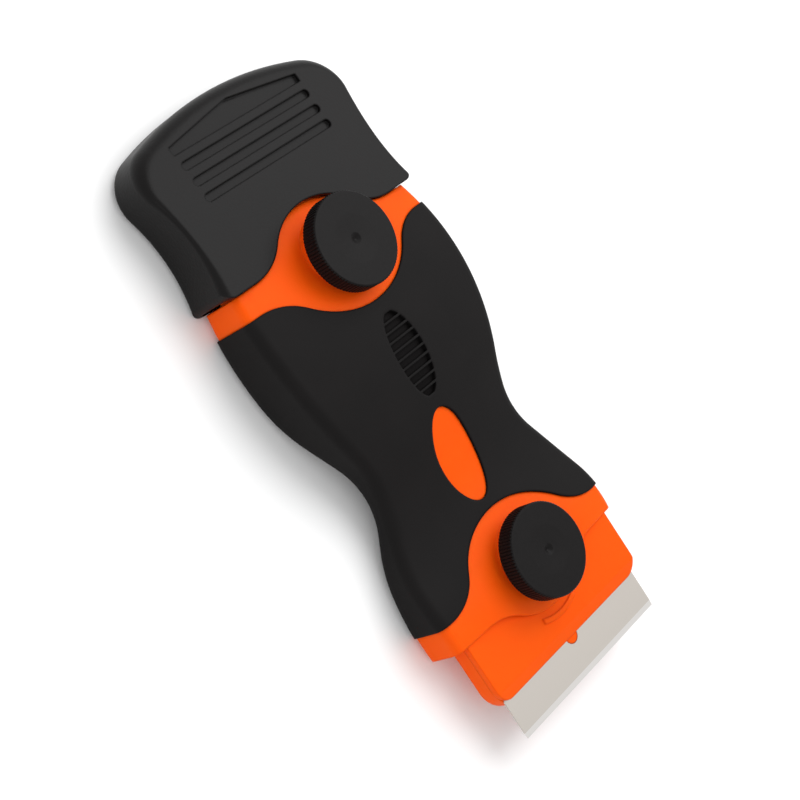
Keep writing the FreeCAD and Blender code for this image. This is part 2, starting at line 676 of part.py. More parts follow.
# Grip sleeve: the skin of the form, with the rib pattern and the window for the oval
def make_grip():
    slot = "(Sizes.rib_field_length / Sizes.rib_count - Sizes.rib_width)"
    first = "(Places.rib_place - Sizes.rib_field_length / 2 + Sizes.rib_width / 2)"
    bars = new_body("rib_bars")
    sketch = new_sketch(bars, "rib_bar", "XY_Plane")
    last = "%s + %s" % (first, slot)
    polygon(sketch, [
        ("-Sizes.rib_field_width", first), ("Sizes.rib_field_width", first),
        ("Sizes.rib_field_width", last), ("-Sizes.rib_field_width", last),
    ])
    bar = pad(bars, "rib_bar_pad", sketch, "Places.form_top")
    repeat_along_y(bars, "rib_bar_row", bar, "Sizes.rib_count", "Sizes.rib_field_length / Sizes.rib_count")
    field = oval_prism("rib_field", "Sizes.rib_field_length", "Sizes.rib_field_width",
                       "Places.rib_place", "Places.dip_height / 2", "Places.form_top")
    slots = combine("Common", "rib_columns", field, bars)
    slots = combine("Cut", "rib_slots", slots, rib_floor_form)
    skin = combine("Common", "grip_blank", grip_form, grip_zone)
    skin = combine("Cut", "grip_skin", skin, inner_form)
    skin = combine("Cut", "grip_with_window", skin, oval_window)
    return stand(combine("Cut", "grip_sleeve", skin, slots))


# Core: the inside of the grip, both collars, the oval pad and the knob seats, with sockets for the clips
def make_core():
    collars = combine("Common", "core_blank", core_form, core_zone)
    collars = combine("Cut", "core_collars", collars, grip_zone)
    middle = combine("Common", "core_middle", inner_form, grip_zone)
    pad_top = combine("Common", "oval_pad", core_form, oval_window)
    solids = [collars, middle, pad_top]
    tools = []
    for end, sign in (("front", "-"), ("rear", "")):
        y = sign + "Places.knob_reach"
        roof = "Places.jaw_top + Sizes.jaw_clearance"
        solids.append(cylinder(end + "_seat", "Sizes.seat_radius", y, roof, "Places.%s_seat_height" % end))
        bore = "Sizes.stud_radius + Sizes.stud_clearance"
        tools.append(cylinder(end + "_bore", bore, y, "-Sizes.overrun", "Places.form_top + Sizes.overrun"))
        flats = "Sizes.nut_flats + 2 * Sizes.nut_clearance"
        tools.append(hexagon(end + "_nut_pocket", flats, y, "-Sizes.overrun", "Places.nut_roof"))
        for name, half, reach in (("head", "Places.jaw_half", "Places.jaw_shoulder_reach"),
                                  ("tail", "Sizes.tail_half", "Places.tail_reach")):
            near = "(%s - Sizes.jaw_clearance)" % reach
            far = "(Places.form_reach + Sizes.overrun)"
            wide = "(%s + Sizes.jaw_clearance)" % half
            span = (near, far) if end == "rear" else ("-" + far, "-" + near)
            low = ("-" + wide, span[0], "Places.jaw_floor - Sizes.jaw_clearance")
            high = (wide, span[1], roof)
            tools.append(box(end + "_" + name + "_socket", low, high))
    return stand(combine("Cut", "handle_core", fuse("core_solid", solids), fuse("core_tools", tools)))


# The pieces on each knob's axis, from the seat up
def make_clamp(end, sign):
    y = sign + "Places.knob_reach"
    washer_low = "(Places.%s_seat_height + Sizes.seat_clearance)" % end
    washer_high = "(%s + Sizes.washer_height)" % washer_low
    base = "(%s + Sizes.seat_clearance)" % washer_high
    top = "(%s + Sizes.knob_height)" % base
    head_low = "(%s + Sizes.stud_head_lift)" % base
    head_high = "(%s + Sizes.stud_head_height)" % head_low
    rim = "Sizes.knob_radius"
    inside = "Sizes.knob_radius - Sizes.knob_edge"

    washer = new_body(end + "_washer")
    bore = "(Sizes.stud_radius + Sizes.stud_clearance)"
    revolve(washer, end + "_washer_ring", [
        (bore, washer_low), ("Sizes.washer_radius", washer_low),
        ("Sizes.washer_radius", washer_high), (bore, washer_high),
    ])

    stud = new_body(end + "_stud")
    tip = "Places.stud_tip_height"
    revolve(stud, end + "_stud_turned", [
        ("0", tip), ("Sizes.stud_radius - Sizes.stud_chamfer", tip),
        ("Sizes.stud_radius", tip + " + Sizes.stud_chamfer"), ("Sizes.stud_radius", head_low),
        ("Sizes.stud_head_radius", head_low), ("Sizes.stud_head_radius", head_high), ("0", head_high),
    ])

    knob = new_body(end + "_knob")
    turned = revolve(knob, end + "_knob_turned", [
        ("Sizes.stud_radius", base), (inside, base), (rim, base + " + Sizes.knob_edge"),
        (rim, top + " - Sizes.knob_edge"), (inside, top), ("Sizes.knob_dish_radius", top),
        ("Sizes.knob_dimple_radius", top + " - Sizes.knob_dish_depth"),
        ("0", top + " - Sizes.knob_dimple_depth"), ("0", head_high),
        ("Sizes.stud_head_radius", head_high), ("Sizes.stud_head_radius", head_low),
        ("Sizes.stud_radius", head_low),
    ])
    notch = new_sketch(knob, end + "_knurl_notch", "XY_Plane")
    past = rim + " + Sizes.knurl_depth"
    polygon(notch, [
        (rim + " - Sizes.knurl_depth", "0"), (past, "-Sizes.knurl_width"), (past, "Sizes.knurl_width"),
    ])
    groove = cut_through(knob, end + "_knurl_groove", notch)
    knurl = knob.newObject("PartDesign::PolarPattern", end + "_knurl")
    knurl.Originals = [groove]
    knurl.Axis = (turned.Profile[0], ["V_Axis"])
    knurl.setExpression("Occurrences", "Sizes.knurl_count")
    knob.Tip = knurl

    for body in (washer, stud, knob):
        stand(body, y)
    low = "Places.nut_low"
    blank = hexagon(end + "_nut_blank", "Sizes.nut_flats", y, low, "Places.nut_roof")
    thread = "Sizes.stud_radius + Sizes.thread_clearance"
    hole = cylinder(end + "_nut_thread", thread, y, low + " - Sizes.overrun", "Places.form_top")
    return [washer, stud, knob, stand(combine("Cut", end + "_nut", blank, hole))]


# The plan of a jaw, right half: open slot for the screw, tail, shoulder and rounded front corner
def jaw_outline(sketch, reach, front_corner):
    slot = "Places.slot_radius"
    knob_y = value("Places.knob_reach")
    slot_half = value(slot)
    tail_y = value("Places.tail_reach")
    tail_x = value("Sizes.tail_half")
    neck_y = value("Places.jaw_shoulder_reach")
    head_x = value("Places.jaw_half")
    corner = value(front_corner)
    end_y = value(reach)
    edges = [
        arc(sketch, (0, knob_y), (0, knob_y + slot_half), (slot_half, knob_y)),
        line(sketch, (slot_half, knob_y), (slot_half, tail_y)),
        line(sketch, (slot_half, tail_y), (tail_x, tail_y)),
        line(sketch, (tail_x, tail_y), (tail_x, neck_y)),
        line(sketch, (tail_x, neck_y), (head_x, neck_y)),
        line(sketch, (head_x, neck_y), (head_x, end_y - corner)),
        arc(sketch, (head_x - corner, end_y - corner), (head_x, end_y - corner), (head_x - corner, end_y)),
        line(sketch, (head_x - corner, end_y), (0, end_y)),
        line(sketch, (0, end_y), (0, knob_y + slot_half)),
    ]
    smooth(sketch, edges[0], edges[1])
    smooth(sketch, edges[5], edges[6])
    smooth(sketch, edges[6], edges[7])
    for index in (1, 2, 3, 4, 7, 8):
        join(sketch, edges[index], edges[(index + 1) % len(edges)])
    for index in (1, 3, 5, 8):
        upright(sketch, edges[index])
    for index in (2, 4, 7):
        level(sketch, edges[index])
    on_middle_line(sketch, edges[0][0], 3)
    on_middle_line(sketch, edges[7][0], 2)
    at_y(sketch, edges[0][0], 3, "Places.knob_reach")
    radius(sketch, edges[0], slot)
    at_y(sketch, edges[2][0], 1, "Places.tail_reach")
    at_x(sketch, edges[3][0], 1, "Sizes.tail_half")
    at_y(sketch, edges[4][0], 1, "Places.jaw_shoulder_reach")
    at_x(sketch, edges[5][0], 1, "Places.jaw_half")
    radius(sketch, edges[6], front_corner)
    at_y(sketch, edges[7][0], 2, reach)


# A short arc rib on the upper jaw, right half
def stop_rib_outline(sketch):
    inner = "(Places.stop_rib_radius - Sizes.stop_rib_width / 2)"
    outer = "(Places.stop_rib_radius + Sizes.stop_rib_width / 2)"
    centre = (0, value("Places.knob_reach"))
    half = value("Sizes.stop_rib_half")
    ends = []
    for size in (value(inner), value(outer)):
        ends.append((half, centre[1] + math.sqrt(size ** 2 - half ** 2)))
    edges = [
        arc(sketch, centre, (0, centre[1] + value(inner)), ends[0]),
        line(sketch, ends[0], ends[1]),
        arc(sketch, centre, ends[1], (0, centre[1] + value(outer))),
        line(sketch, (0, centre[1] + value(outer)), (0, centre[1] + value(inner))),
    ]
    for edge, following in zip(edges, edges[1:] + edges[:1]):
        join(sketch, edge, following)
    upright(sketch, edges[1])
    upright(sketch, edges[3])
    for edge, size in ((edges[0], inner), (edges[2], outer)):
        on_middle_line(sketch, edge[0], 3)
        at_y(sketch, edge[0], 3, "Places.knob_reach")
        radius(sketch, edge, size)
    on_middle_line(sketch, edges[3][0], 1)
    at_x(sketch, edges[1][0], 1, "Sizes.stop_rib_half")


# A clip: two jaws with the blade between them, built at the rear and turned for the front
def make_clip(end, turn):
    upper = new_body(end + "_upper_jaw")
    plan = new_sketch(upper, end + "_upper_plan", "XY_Plane")
    plan.setExpression("AttachmentOffset.Base.z", "Sizes.jaw_split_height")
    jaw_outline(plan, "Places.jaw_reach", "Sizes.upper_corner")
    plate = pad(upper, end + "_upper_plate", plan, "Sizes.upper_jaw_height")
    rib = new_sketch(upper, end + "_stop_rib_plan", "XY_Plane")
    rib.setExpression("AttachmentOffset.Base.z", "Places.jaw_top")
    stop_rib_outline(rib)
    ridge = pad(upper, end + "_stop_rib", rib, "Sizes.stop_rib_height")
    mirror(upper, end + "_upper_whole", [plate, ridge])
    bevel = new_sketch(upper, end + "_bevel_profile", "YZ_Plane")
    past = "(Places.jaw_reach + Sizes.overrun)"
    drop = "Sizes.jaw_bevel_drop * (1 + Sizes.overrun / Sizes.jaw_bevel_length)"
    start = "Places.jaw_reach - Sizes.jaw_bevel_length"
    over = "Places.jaw_top + Sizes.stop_rib_height + Sizes.overrun"
    tip = "Places.jaw_top - " + drop
    polygon(bevel, [(start, "Places.jaw_top"), (past, tip), (past, over), (start, over)])
    cut_through(upper, end + "_bevel", bevel)

    lower = new_body(end + "_lower_jaw")
    plan = new_sketch(lower, end + "_lower_plan", "XY_Plane")
    plan.setExpression("AttachmentOffset.Base.z", "Places.jaw_floor")
    jaw_outline(plan, "Places.jaw_reach + Sizes.jaw_lip", "Sizes.lower_corner")
    plate = pad(lower, end + "_lower_plate", plan, "Sizes.lower_jaw_height")
    mirror(lower, end + "_lower_whole", [plate])
    back = "Places.blade_back"
    bed = new_sketch(lower, end + "_blade_bed", "XY_Plane")
    bed.setExpression("AttachmentOffset.Base.z", "Places.blade_floor")
    half = "(Sizes.blade_half + Sizes.blade_clearance)"
    edge_y = "Places.blade_reach"
    inner_y = back + " - Sizes.blade_clearance"
    polygon(bed, [("-" + half, inner_y), (half, inner_y), (half, edge_y), ("-" + half, edge_y)])
    pocket = lower.newObject("PartDesign::Pocket", end + "_blade_pocket")
    pocket.Profile = bed
    pocket.Reversed = True
    pocket.setExpression("Length", "Sizes.blade_thickness + Sizes.blade_clearance + Sizes.overrun")
    peg = new_sketch(lower, end + "_peg_plan", "XY_Plane")
    peg.setExpression("AttachmentOffset.Base.z", "Places.jaw_floor")
    circle(peg, "0", "Places.peg_reach", "Sizes.peg_radius")
    pad(lower, end + "_peg", peg, "Sizes.lower_jaw_height - Sizes.blade_clearance")

    blade = new_body(end + "_blade")
    profile = new_sketch(blade, end + "_blade_profile", "YZ_Plane")
    top = "Places.blade_top"
    middle = "(Places.blade_floor + Sizes.blade_thickness / 2)"
    facet = "Places.blade_reach - Sizes.ground_width"
    polygon(profile, [
        (back, "Places.blade_floor"), (facet, "Places.blade_floor"),
        ("Places.blade_reach", middle + " - Sizes.edge_thickness / 2"),
        ("Places.blade_reach", middle + " + Sizes.edge_thickness / 2"),
        (facet, top), (back, top),
    ])
    pad(blade, end + "_blade_strip", profile, "2 * Sizes.blade_half", "Symmetric")
    hole = new_sketch(blade, end + "_peg_hole_plan", "XY_Plane")
    circle(hole, "0", "Places.peg_reach", "Sizes.peg_radius + Sizes.peg_clearance")
    cut_through(blade, end + "_peg_hole", hole)

    for body in (upper, lower, blade):
        body.Placement = FreeCAD.Placement(FreeCAD.Vector(), FreeCAD.Rotation(turn, 0, 0))
        stand(body)
    return [upper, lower, blade]


# The cap's outer form, drawn in by an inset, with a round that widens towards the end
def cap_form(label, inset, fold_share):
    body = new_body(label)
    sketch = new_sketch(body, label + "_plan", "XY_Plane")
    sketch.setExpression("AttachmentOffset.Base.z", "Sizes.cap_bottom + " + inset)
    end = "(Places.cap_end - %s)" % inset
    end_radius = "(Sizes.cap_end_radius - %s)" % inset
    corner = "(Sizes.cap_corner - %s)" % inset
    waist_radius = "(Sizes.cap_waist_radius + %s)" % inset
    waist_x = "(Places.cap_waist_half + Sizes.cap_waist_radius)"
    open_y = "(Places.core_rear_reach - Sizes.overrun)"
    far = (0, value(end) - value(end_radius))
    waist = (value(waist_x), value("Places.cap_waist_place"))
    bend = value(corner)
    to_far = value(end_radius) - bend
    to_waist = value(waist_radius) + bend
    between = math.hypot(waist[0] - far[0], waist[1] - far[1])
    along = (to_far ** 2 - to_waist ** 2 + between ** 2) / (2 * between)
    aside = math.sqrt(to_far ** 2 - along ** 2)
    unit = ((waist[0] - far[0]) / between, (waist[1] - far[1]) / between)
    turn = (far[0] + along * unit[0] - aside * unit[1], far[1] + along * unit[1] + aside * unit[0])
    stretch = value(end_radius) / to_far
    end_meet = (far[0] + stretch * (turn[0] - far[0]), far[1] + stretch * (turn[1] - far[1]))
    share = bend / to_waist
    side_meet = (turn[0] + share * (waist[0] - turn[0]), turn[1] + share * (waist[1] - turn[1]))
    mouth_y = value(open_y)
    mouth_x = waist[0] - math.sqrt(value(waist_radius) ** 2 - (mouth_y - waist[1]) ** 2)
    edges = [
        arc(sketch, far, (0, value(end)), end_meet),
        arc(sketch, turn, end_meet, side_meet),
        arc(sketch, waist, side_meet, (mouth_x, mouth_y)),
        line(sketch, (mouth_x, mouth_y), (0, mouth_y)),
        line(sketch, (0, mouth_y), (0, value(end))),
    ]
    smooth(sketch, edges[0], edges[1])
    smooth(sketch, edges[1], edges[2])
    for edge, following in zip(edges[2:], edges[3:] + edges[:1]):
        join(sketch, edge, following)
    level(sketch, edges[3])
    on_middle_line(sketch, edges[0][0], 3)
    on_middle_line(sketch, edges[4][0], 1)
    on_middle_line(sketch, edges[4][0], 2)
    at_y(sketch, edges[4][0], 2, end)
    at_y(sketch, edges[4][0], 1, open_y)
    radius(sketch, edges[0], end_radius)
    radius(sketch, edges[1], corner)
    radius(sketch, edges[2], waist_radius)
    at_x(sketch, edges[2][0], 3, waist_x)
    at_y(sketch, edges[2][0], 3, "Places.cap_waist_place")
    half = pad(body, label + "_half", sketch, "Places.cap_mouth_height")
    mirror(body, label + "_whole", [half])

    wedge = new_sketch(body, label + "_wedge", "YZ_Plane")
    near = "(%s - Sizes.overrun)" % open_y
    past = "(Places.cap_end + Sizes.overrun)"
    near_rise = "Places.cap_slope * (Places.cap_mouth - %s)" % near
    near_height = "Places.cap_mouth_height - %s + %s" % (inset, near_rise)
    past_height = "Places.cap_end_height - %s - Places.cap_slope * Sizes.overrun" % inset
    ceiling = "2 * Places.cap_mouth_height"
    polygon(wedge, [(near, near_height), (past, past_height), (past, ceiling), (near, ceiling)])
    tip = cut_through(body, label + "_top", wedge)
    half_way = value("(Sizes.cap_bottom + Places.cap_end_height) / 2")
    mouth_line = value(open_y + " + Sizes.overrun / 2")

    def outside(edge):
        bounds = edge.BoundBox
        return bounds.YMax > mouth_line and max(bounds.XLength, bounds.YLength) > bounds.ZLength

    def heel(edge):
        return outside(edge) and edge.BoundBox.ZMax < half_way

    def fold_radius(point):
        if point.y < mouth_line:
            return value("Sizes.cap_mouth_fold * " + fold_share)
        if abs(point.x) > value("Places.cap_waist_half"):
            return value("Sizes.cap_corner_fold * " + fold_share)
        return value("Sizes.cap_end_fold * " + fold_share)

    if inset == "0":
        fillet(body, label + "_heel", tip, heel, "Sizes.cap_heel")
    doc.recompute()
    rounds = []
    for number, edge in enumerate(body.Shape.Edges, start=1):
        if outside(edge) and edge.BoundBox.ZMin > half_way:
            ends = [fold_radius(edge.Vertexes[index].Point) for index in (0, -1)]
            rounds.append((number, ends[0], ends[1]))
    folded = doc.addObject("Part::Fillet", label + "_folded")
    folded.Base = body
    folded.Edges = rounds
    return folded


def cap_zone_prism():
    body = new_body("cap_zone")
    sketch = new_sketch(body, "cap_zone_outline", "XY_Plane")
    apex = "(Places.core_apex + Sizes.cap_gap)"
    rounds = ("Sizes.boss_radius + Sizes.cap_gap", "Sizes.boss_blend - Sizes.cap_gap")
    side = "2 * Places.cap_waist_half"
    end = "(Places.cap_end + Sizes.overrun)"
    run_end = "(Places.cap_mouth_half - Sizes.cap_mouth_corner)"
    bow, run = s_curve(sketch, 1, apex, *rounds, "Places.cap_mouth", run_end)
    side_x = value(side)
    end_y = value(end)
    turn = (value(run_end), value("Places.cap_mouth + Sizes.cap_mouth_corner"))
    rim = (value("Places.cap_mouth_half"), turn[1])
    edges = [
        arc(sketch, turn, (turn[0], value("Places.cap_mouth")), rim),
        line(sketch, rim, (side_x, rim[1])),
        line(sketch, (side_x, rim[1]), (side_x, end_y)),
        line(sketch, (side_x, end_y), (0, end_y)),
        line(sketch, (0, end_y), (0, value(apex))),
    ]
    smooth(sketch, run, edges[0])
    for edge, following in zip(edges, edges[1:] + [bow]):
        join(sketch, edge, following)
    radius(sketch, edges[0], "Sizes.cap_mouth_corner")
    level(sketch, edges[1])
    upright(sketch, edges[2])
    level(sketch, edges[3])
    upright(sketch, edges[4])
    at_y(sketch, edges[1][0], 1, "Places.cap_mouth + Sizes.cap_mouth_corner")
    at_x(sketch, edges[2][0], 1, side)
    at_y(sketch, edges[3][0], 1, end)
    half = pad(body, "cap_zone_half", sketch, "4 * Places.cap_mouth_height", "Symmetric")
    mirror(body, "cap_zone_whole", [half])
    return body


# Straight round-ended grooves and one with a peaked edge
def cap_groove_columns():
    rows = new_body("cap_groove_rows")
    sketch = new_sketch(rows, "cap_groove_plan", "XY_Plane")
    sketch.setExpression("AttachmentOffset.Base.z", "Places.cap_end_height / 2")
    y = value("Places.groove_reach")
    bend = value("Sizes.groove_width / 2")
    run = value("Sizes.groove_half") - bend
    quarters = []
    for side in (1, -1):
        near = side * run
        tip = (side * (run + bend), y)
        quarters.append(arc(sketch, (near, y), (near, y - side * bend), tip))
        quarters.append(arc(sketch, (near, y), tip, (near, y + side * bend)))
    top = line(sketch, (run, y + bend), (-run, y + bend))
    bottom = line(sketch, (-run, y - bend), (run, y - bend))
    ring = [bottom, quarters[0], quarters[1], top, quarters[2], quarters[3]]
    for edge, following in zip(ring, ring[1:] + ring[:1]):
        smooth(sketch, edge, following)
    level(sketch, top)
    for edge in quarters:
        radius(sketch, edge, "Sizes.groove_width / 2")
    at_x(sketch, quarters[0][0], 3, "Sizes.groove_half - Sizes.groove_width / 2")
    at_x(sketch, quarters[2][0], 3, "-(Sizes.groove_half - Sizes.groove_width / 2)")
    at_y(sketch, quarters[0][0], 3, "Places.groove_reach")
    slot = pad(rows, "cap_groove", sketch, "2 * Places.cap_mouth_height")
    repeat_along_y(rows, "cap_groove_row", slot, "Sizes.groove_count", "Sizes.groove_pitch")

    peak = new_body("cap_peak")
    sketch = new_sketch(peak, "cap_peak_plan", "XY_Plane")
    sketch.setExpression("AttachmentOffset.Base.z", "Places.cap_end_height / 2")
    last = "Places.groove_reach + Sizes.groove_pitch * (Sizes.groove_count - 1)"
    low = "(%s + Sizes.groove_width / 2 + Sizes.peak_gap)" % last
    shoulder = low + " + Sizes.groove_width"
    polygon(sketch, [
        ("-Sizes.groove_half", low), ("Sizes.groove_half", low), ("Sizes.groove_half", shoulder),
        ("0", shoulder + " + Sizes.peak_rise"), ("-Sizes.groove_half", shoulder),
    ])
    pad(peak, "cap_peak_groove", sketch, "2 * Places.cap_mouth_height")
    columns = fuse("cap_groove_columns", [rows, peak])
    floor = cap_form("cap_groove_floor", "Sizes.groove_depth", "1")
    return combine("Cut", "cap_grooves", columns, floor)


# Slip-on cap: a thin shell with guide ribs that ride on the clip
def make_cap():
    outer = cap_form("cap_outer", "0", "1")
    inner = cap_form("cap_inner", "Sizes.cap_wall", "Sizes.cap_inside_fold_share")
    shell = combine("Common", "cap_blank", outer, cap_zone_prism())
    shell = combine("Cut", "cap_shell", shell, inner)
    solids = [shell]
    start = "(Places.cap_mouth + Sizes.guide_start)"
    stop = "(%s + Sizes.guide_length)" % start
    ceiling = "(Places.cap_mouth_height - Places.cap_slope * (%s - Places.cap_mouth))" % stop
    upper_end = ceiling + " - Sizes.cap_wall / 4"
    levels = (
        ("lower", "Sizes.cap_bottom + Sizes.cap_wall / 2", "Places.jaw_floor - Sizes.guide_clearance"),
        ("upper", "Places.jaw_top + Sizes.guide_clearance", upper_end),
    )
    for side, sign in (("left", "-"), ("right", "")):
        middle = sign + "Sizes.guide_place"
        for name, low, high in levels:
            corner = (middle + " - Sizes.guide_width / 2", start, low)
            opposite = (middle + " + Sizes.guide_width / 2", stop, high)
            solids.append(box("%s_%s_guide" % (name, side), corner, opposite))
    return stand(combine("Cut", "blade_cap", fuse("cap_with_guides", solids), cap_groove_columns()))


oval_window = oval_prism("oval_window", "Sizes.oval_length", "Sizes.oval_width",
                         "-Places.oval_place", "Places.dip_height / 2", "Places.form_top")
nodes = [make_core(), make_grip()]
for end, sign, turn in (("front", "-", 180), ("rear", "", 0)):
    nodes.extend(make_clamp(end, sign))
    nodes.extend(make_clip(end, turn))
nodes.append(make_cap())
doc.recompute()

# Nothing is written unless every feature worked and every node is one sound solid
for feature in doc.Objects:
    if "Invalid" in feature.State or "Error" in feature.State:
        raise RuntimeError("feature failed: " + feature.Label)
for node in nodes:
    shape = node.Shape
    if shape.isNull() or not shape.isValid() or len(shape.Solids) != 1:
        raise RuntimeError("bad shape: %s, %d solids" % (node.Label, len(shape.Solids)))
    print("%s: %.1f cubic millimetres" % (node.Label, shape.Volume))
os.makedirs("parts", exist_ok=True)
for node in nodes:
    node.Shape.exportStep("parts/%s.step" % node.Label)
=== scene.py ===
import math
import bmesh
import bpy
from mathutils import Matrix, Vector


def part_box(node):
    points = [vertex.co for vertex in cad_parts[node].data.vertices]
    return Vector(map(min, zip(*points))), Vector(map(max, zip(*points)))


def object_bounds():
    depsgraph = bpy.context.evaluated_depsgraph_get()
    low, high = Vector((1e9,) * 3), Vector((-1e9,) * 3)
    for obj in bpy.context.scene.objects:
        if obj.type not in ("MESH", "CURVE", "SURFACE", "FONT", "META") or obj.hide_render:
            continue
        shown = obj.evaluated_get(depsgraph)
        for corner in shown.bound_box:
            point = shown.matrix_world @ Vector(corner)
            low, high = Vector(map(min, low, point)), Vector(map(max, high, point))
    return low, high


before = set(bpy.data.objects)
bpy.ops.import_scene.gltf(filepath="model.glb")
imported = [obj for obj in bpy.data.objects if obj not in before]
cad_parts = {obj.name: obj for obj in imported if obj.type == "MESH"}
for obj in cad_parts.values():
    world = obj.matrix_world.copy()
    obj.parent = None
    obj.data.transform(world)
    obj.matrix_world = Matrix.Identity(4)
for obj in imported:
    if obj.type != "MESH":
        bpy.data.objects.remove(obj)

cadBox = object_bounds()
millimetre = 0.001
raySamples = 8  # rays that feel for edges in the materials and for the painted shade in the rubber's slots
print("frame loaded,", len(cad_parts), "nodes")


# sRGB hex to the linear colour that a socket takes
def linearColour(hexCode):
    channels = [int(hexCode[i:i + 2], 16) / 255 for i in (1, 3, 5)]
    return [c / 12.92 if c <= 0.04045 else ((c + 0.055) / 1.055) ** 2.4 for c in channels] + [1]


# inputs hold a value or the socket to link, settings go on the node itself
def addNode(tree, kind, inputs=None, **settings):
    node = tree.nodes.new("ShaderNode" + kind)
    for name, setting in settings.items():
        setattr(node, name, setting)
    for socket, value in (inputs or {}).items():
        if isinstance(value, bpy.types.NodeSocket):
            tree.links.new(value, node.inputs[socket])
        else:
            node.inputs[socket].default_value = value
    return node


def newMaterial(name):
    material = bpy.data.materials.new(name)
    material.use_nodes = True
    material.node_tree.nodes.clear()
    return material, material.node_tree


def finishSurface(tree, inputs):
    surface = addNode(tree, "BsdfPrincipled", inputs)
    addNode(tree, "OutputMaterial", {"Surface": surface.outputs["BSDF"]})


# two tones of one material in soft patches, about one patch to each patchSize
def mottledColour(tree, place, look):
    patches = addNode(tree, "TexNoise", {
        "Vector": place,
        "Scale": 1 / look["patchSize"],
        "Detail": look["patchDetail"],
    })
    colour = addNode(tree, "Mix", {
        "Factor": patches.outputs["Fac"],
        "A": linearColour(look["colour"]),
        "B": linearColour(look["patchColour"]),
    }, data_type="RGBA")
    return colour.outputs["Result"]


# what all mouldings share: mottled colour, gloss, and a grained skin over edges that look a little rounded
# a mould's grain is finer than this, and it is drawn coarse enough to show
def mouldedInputs(tree, look):
    place = addNode(tree, "TexCoord").outputs["Object"]
    grain = addNode(tree, "TexNoise", {
        "Vector": place,
        "Scale": 1 / look["grainSize"],
        "Detail": look["grainDetail"],
    })
    edges = addNode(tree, "Bevel", {"Radius": look["edgeRound"]}, samples=raySamples)
    skin = addNode(tree, "Bump", {
        "Height": grain.outputs["Fac"],
        "Distance": look["grainHeight"],
        "Normal": edges.outputs["Normal"],
    })
    return {
        "Base Color": mottledColour(tree, place, look),
        "Roughness": look["roughness"],
        "IOR": look["ior"],
        "Specular IOR Level": look["shine"],
        "Normal": skin.outputs["Normal"],
    }


orangeLook = {
    "colour": "#f2580b",
    "patchColour": "#ec5107",  # a deeper tone where the melt flowed
    "patchSize": 14 * millimetre,
    "patchDetail": 2,
    "grainSize": 0.35 * millimetre,
    "grainDetail": 3,
    "grainHeight": 0.012 * millimetre,
    "edgeRound": 0.5 * millimetre,
    "roughness": 0.4,
    "ior": 1.53,
    "shine": 0.04,
    "scatter": 0.2,
    "scatterDepth": 1.2 * millimetre,
    "scatterReach": (1.0, 0.3, 0.1),  # red goes deepest
}


# moulded ABS: strong even colour, satin gloss, light sinks in a little and glows red in the corners
def orangePlastic(look):
    material, tree = newMaterial("moulded_orange_abs")
    finishSurface(tree, {
        **mouldedInputs(tree, look),
        "Subsurface Weight": look["scatter"],
        "Subsurface Radius": look["scatterReach"],
        "Subsurface Scale": look["scatterDepth"],
    })
    return material


rubberLook = {
    "colour": "#131212",
    "patchColour": "#191717",  # dusty from handling
    "patchSize": 9 * millimetre,
    "patchDetail": 3,
    "grainSize": 0.3 * millimetre,
    "grainDetail": 2,
    "grainHeight": 0.02 * millimetre,
    "edgeRound": 0.7 * millimetre,
    "roughness": 0.6,
    "ior": 1.5,
    "shine": 0.07,
    "paintedShadeReach": 1.5 * millimetre,  # painted shade: walls nearer than this take the shine away
    "paintedShadeStrength": 2,  # higher makes the painted shade in the slots darker
}


# soft-touch moulded rubber: matt near-black with a fine skin; painted shade takes its shine away in the
# slots between the ribs
def gripRubber(look):
    material, tree = newMaterial("soft_touch_rubber")
    # painted shade: ambient occlusion cuts the shine where nearby walls close in, so the slots read darker
    openness = addNode(tree, "AmbientOcclusion", {"Distance": look["paintedShadeReach"]}, samples=raySamples)
    paintedSlotShade = addNode(tree, "Math", {0: openness.outputs["AO"], 1: look["paintedShadeStrength"]}, operation="POWER")
    shine = addNode(tree, "Math", {0: paintedSlotShade.outputs["Value"], 1: look["shine"]}, operation="MULTIPLY")
    finishSurface(tree, {
        **mouldedInputs(tree, look),
        "Specular IOR Level": shine.outputs["Value"],
    })
    return material


capLook = {
    "colour": "#0b0a0a",
    "patchColour": "#110f0f",  # a little worn
    "patchSize": 12 * millimetre,
    "patchDetail": 4,
    "grainSize": 0.45 * millimetre,
    "grainDetail": 2,
    "grainHeight": 0.03 * millimetre,
    "edgeRound": 0.45 * millimetre,
    "roughness": 0.4,
    "ior": 1.49,
    "shine": 0.12,
}


# polypropylene from a spark-eroded mould: black with a dull sheen and a fine sandy texture
def capPlastic(look):
    material, tree = newMaterial("textured_black_polypropylene")
    finishSurface(tree, mouldedInputs(tree, look))
    return material


fibreSize = 0.6 * millimetre  # the fibres colour the knobs and lift their skin alike
fibreDetail = 3
knobLook = {
    "colour": "#121111",
    "patchColour": "#181616",
    "patchSize": fibreSize,
    "patchDetail": fibreDetail,
    "grainSize": fibreSize,
    "grainDetail": fibreDetail,
    "grainHeight": 0.015 * millimetre,
    "edgeRound": 0.2 * millimetre,
    "roughness": 0.42,
    "ior": 1.53,
    "shine": 0.07,
}


# glass-filled nylon: black with a faint fibre mottle and a dull shine
def knobPlastic(look):
    material, tree = newMaterial("glass_filled_nylon")
    finishSurface(tree, mouldedInputs(tree, look))
    return material


bladeLook = {
    "colour": "#bdb7b0",
    "groundColour": "#d6d3d0",
    "groundWidth": 1.0 * millimetre,
    "lineSpacing": 0.25 * millimetre,  # coarser than real rolling lines, so that they show
    "lineStretch": 50,  # lines are this many times longer than their spacing
    "lineDetail": 2,
    "lineHeight": 0.004 * millimetre,
    "roughness": 0.34,
}


